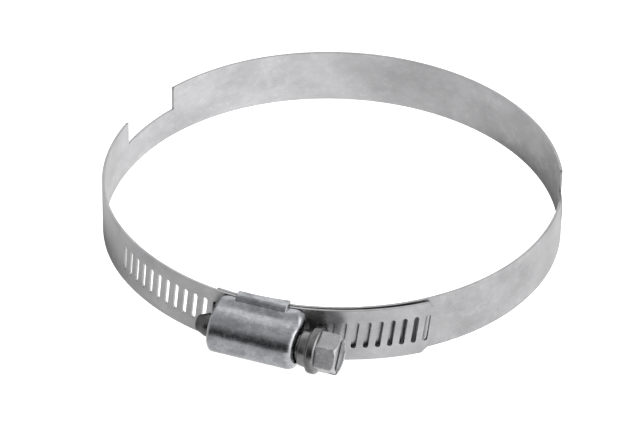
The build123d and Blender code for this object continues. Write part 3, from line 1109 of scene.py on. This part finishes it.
def make_contact_card():
    """What the steel mirrors close to its foot: the shaded table under the band's walls."""
    card = square("contact_card", CONTACT_HALF, CONTACT_Z)
    n = Nodes("contact_shade")
    n.tree.nodes.remove(n.shader)
    reach = (n.reach((0.0, 0.0, 0.0), (1.0, 1.0, 0.0)), "Value")
    across = (n.place("Object"), "X")

    def spread(source, span):
        node = n.add("ShaderNodeMapRange")
        node.interpolation_type = "SMOOTHSTEP"
        set_range(node, (span[0] * MM, span[1] * MM), (0.0, 1.0))
        n.join(*source, node, "Value")
        return (node, "Result")

    def product(*sources):
        total = sources[0]
        for source in sources[1:]:
            total = (n.maths("MULTIPLY", total, source), 0)
        return total

    inside = product(spread(reach, INSIDE_REACH), spread(reach, WALL_LINE[::-1]), spread(across, INSIDE_X))
    outside = product(spread(reach, OUTSIDE_REACH), spread(reach, WALL_LINE), spread(across, OUTSIDE_X))
    shade = product((n.maths("ADD", inside, outside), 0), CONTACT_STRENGTH)
    dark = n.add("ShaderNodeEmission")
    dark.inputs["Color"].default_value = grey(CONTACT_GREY)
    clear = n.add("ShaderNodeBsdfTransparent")
    blend = n.add("ShaderNodeMixShader")
    n.join(*shade, blend, 0)
    n.join(clear, 0, blend, 1)
    n.join(dark, 0, blend, 2)
    n.join(blend, 0, n.out, "Surface")
    card.data.materials.append(n.material)
    card.visible_camera = False
    card.visible_diffuse = False
    card.visible_shadow = False


def make_key_light():
    """Weak light from high on the left, behind the clamp, aimed at the origin."""
    data = bpy.data.lights.new("key", "AREA")
    data.size = KEY_SIZE
    data.energy = KEY_POWER
    light = add("key", data)
    light.location = KEY_PLACE
    light.rotation_mode = "QUATERNION"
    light.rotation_quaternion = (-Vector(KEY_PLACE)).to_track_quat("-Z", "Y")


def make_world():
    """Studio surroundings by direction. The sky is dark in front, brighter above and behind, and
    brightest on the right. The table is brighter on the right, with a dark card low in front."""
    world = bpy.data.worlds.new("Studio")
    bpy.context.scene.world = world
    world.use_nodes = True
    tree = world.node_tree
    back = tree.nodes["Background"]
    place = tree.nodes.new("ShaderNodeTexCoord")
    split = tree.nodes.new("ShaderNodeSeparateXYZ")
    tree.links.new(place.outputs["Generated"], split.inputs[0])
    x, y, z = split.outputs

    def spread(output, span, first, last):
        node = tree.nodes.new("ShaderNodeMapRange")
        node.interpolation_type = "SMOOTHSTEP"
        set_range(node, span, (first, last))
        tree.links.new(output, node.inputs["Value"])
        return node.outputs["Result"]

    def maths(operation, first, second):
        node = tree.nodes.new("ShaderNodeMath")
        node.operation = operation
        for number, value in enumerate((first, second)):
            if isinstance(value, (int, float)):
                node.inputs[number].default_value = value
            else:
                tree.links.new(value, node.inputs[number])
        return node.outputs[0]

    rise = spread(x, TABLE_X, TABLE_LEFT, TABLE_RIGHT)
    fall = spread(x, TABLE_EDGE_X, 0.0, TABLE_RIGHT - TABLE_EDGE)
    card = maths("MULTIPLY", spread(y, CARD_Y, 0.0, 1.0), spread(z, CARD_Z, 0.0, 1.0))
    beside_card = maths("SUBTRACT", 1.0, maths("MULTIPLY", card, FRONT_CARD))
    table = maths("MULTIPLY", maths("SUBTRACT", rise, fall), beside_card)
    forward = spread(y, FRONT_Y, SKY_FRONT, SKY_TOP)
    behind = spread(y, BACK_Y, 0.0, SKY_BACK - SKY_TOP)
    right = spread(x, RIGHT_X, 0.0, SKY_RIGHT)
    sky = maths("ADD", maths("ADD", forward, behind), right)
    above = spread(z, HORIZON_Z, 0.0, 1.0)
    below = maths("SUBTRACT", 1.0, above)
    total = maths("ADD", maths("MULTIPLY", sky, above), maths("MULTIPLY", table, below))
    tree.links.new(total, back.inputs["Strength"])
    back.inputs["Color"].default_value = (1.0, 1.0, 1.0, 1.0)


def make_camera():
    """Camera to the right of the front and above, aimed a little beside the origin."""
    azimuth, elevation = math.radians(CAMERA_AZIMUTH), math.radians(CAMERA_ELEVATION)
    level = math.cos(elevation)
    back = Vector((level * math.sin(azimuth), -level * math.cos(azimuth), math.sin(elevation)))
    forward = -back
    right = forward.cross(Vector((0, 0, 1))).normalized()
    up = right.cross(forward)
    look = Matrix((right, up, forward)).transposed()
    pan, tilt = Matrix.Rotation(CAMERA_PAN, 3, "Y"), Matrix.Rotation(CAMERA_TILT, 3, "X")
    roll = Matrix.Rotation(math.radians(CAMERA_ROLL), 3, "Z")
    # A camera looks along its own -Z.
    rotation = look @ pan @ tilt @ roll @ Matrix.Diagonal((1, 1, -1))
    data = bpy.data.cameras.new("camera")
    data.sensor_width = 36.0
    data.sensor_fit = "HORIZONTAL"
    data.lens = CAMERA_LENS
    data.clip_start, data.clip_end = 0.01, 20.0
    camera = add("camera", data)
    camera.matrix_world = Matrix.Translation(back * CAMERA_DISTANCE) @ rotation.to_4x4()
    bpy.context.scene.camera = camera


# --- Everything together ----------------------------------------------------
# The band carries painted light on its inner side and painted shade on its outer side.
band_steel = steel(
    "band_steel", uv=True, blotches=(0.10, 0.13), unit=1.0, tones=(0.50, 0.56, 0.62),
    roughness=(0.27, 0.38), depth=0.00002, tint=(1.0, 0.99, 1.01), shade=Nodes.inner_light_outer_shade,
)
housing_steel = steel(
    "housing_steel", uv=False, blotches=(260.0, 300.0), unit=900.0, tones=(0.33, 0.42, 0.51),
    roughness=(0.18, 0.30), depth=0.000012, tint=(0.97, 0.99, 1.04), smudges=(0.84, 1.2),
)
# The shank carries painted shade, darker towards its tip.
shank_steel = steel(
    "shank_steel", uv=False, blotches=(300.0, 300.0), unit=1100.0, tones=(0.16, 0.22, 0.30),
    roughness=(0.18, 0.30), depth=0.000012, shade=Nodes.tip_painted_shade,
)
# The head carries painted shade in its dish and its driver slot.
head_steel = steel(
    "head_steel", uv=False, blotches=(260.0, 300.0), unit=1100.0, tones=(0.38, 0.44, 0.50),
    roughness=(0.20, 0.30), depth=0.000008, tint=(0.99, 0.99, 1.02), metallic=0.5, shade=Nodes.dish_painted_shade,
)
make_band(band_steel)
make_housing(housing_steel)
make_screw(shank_steel, head_steel)
make_floor()
make_contact_card()
make_world()
make_key_light()
bpy.context.scene.view_settings.view_transform = "Standard"
make_camera()
